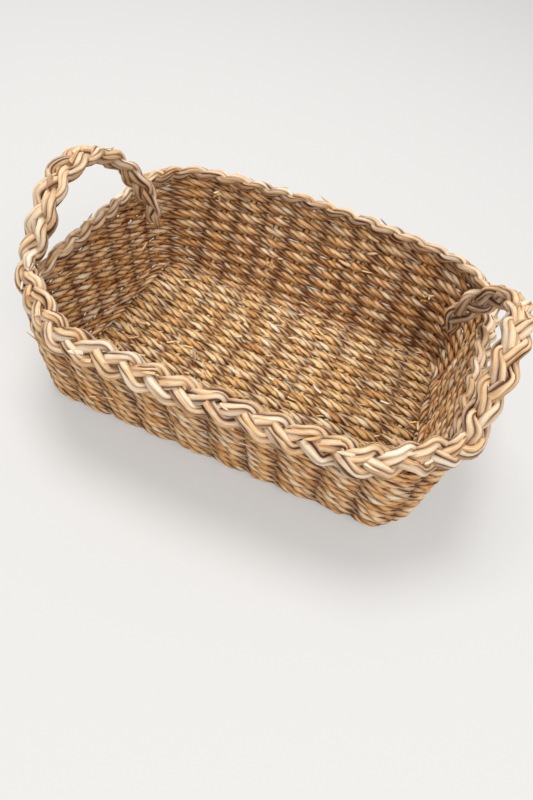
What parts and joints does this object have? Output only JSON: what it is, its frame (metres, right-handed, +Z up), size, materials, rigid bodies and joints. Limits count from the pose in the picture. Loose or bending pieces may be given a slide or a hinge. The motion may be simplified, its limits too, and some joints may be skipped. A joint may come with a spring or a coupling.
{
  "type": "woven bread basket",
  "caption": "Open rectangular bread basket woven from twisted grass strands, with rounded corners, a plaited rim and an arched plaited handle over each short end.",
  "frame": {"origin": "middle of the base's outline, on the plane the basket stands on", "axes": "+Z up out of the opening; X along the basket from end to end, through both handles; -Y towards the long side whose rim runs on into both handles"},
  "size_m": [0.3737, 0.2936, 0.1709],
  "materials": {
    "woven_straw": "dry twisted grass, matt, warm straw colour",
    "inside_straw": "dry twisted grass, matt, a little darker and more orange",
    "plaited_straw": "dry flat grass leaves in plaited bundles, matt, pale tan"
  },
  "bodies": {
    "root": {"back_rim_strand_1": "plaited_straw", "back_rim_strand_2": "plaited_straw", "back_rim_strand_3": "plaited_straw", "base_row_01": "inside_straw", "base_row_02": "inside_straw", "base_row_03": "inside_straw", "base_row_04": "inside_straw", "base_row_05": "inside_straw", "base_row_06": "inside_straw", "base_row_07": "inside_straw", "base_row_08": "inside_straw", "base_row_09": "inside_straw", "base_row_10": "inside_straw", "base_row_11": "inside_straw", "base_row_12": "inside_straw", "base_row_13": "inside_straw", "base_row_14": "inside_straw", "base_row_15": "inside_straw", "base_row_16": "inside_straw", "base_row_17": "inside_straw", "base_row_18": "inside_straw", "base_row_19": "inside_straw", "base_row_20": "inside_straw", "base_row_21": "inside_straw", "base_row_22": "inside_straw", "base_row_23": "inside_straw", "base_row_24": "inside_straw", "base_row_25": "inside_straw", "base_row_26": "inside_straw", "base_row_27": "inside_straw", "base_row_28": "inside_straw", "base_row_29": "inside_straw", "base_row_30": "inside_straw", "base_row_31": "inside_straw", "base_warps": "inside_straw", "front_rim_and_handles_strand_1": "plaited_straw", "front_rim_and_handles_strand_2": "plaited_straw", "front_rim_and_handles_strand_3": "plaited_straw", "left_end_stakes": "inside_straw", "right_end_stakes": "inside_straw", "wall_course_01": "woven_straw", "wall_course_02": "woven_straw", "wall_course_03": "woven_straw", "wall_course_04": "woven_straw", "wall_course_05": "woven_straw", "wall_course_06": "woven_straw", "wall_course_07": "woven_straw", "wall_course_08": "woven_straw", "wall_course_09": "woven_straw", "wall_course_10": "woven_straw", "wall_course_11": "woven_straw", "wall_course_12": "woven_straw", "wall_course_13": "woven_straw", "wall_course_14": "woven_straw", "wall_course_15": "woven_straw", "wall_course_16": "woven_straw", "wall_course_17": "woven_straw", "wall_course_18": "woven_straw", "wall_course_19": "woven_straw"}
  },
  "joints": []
}
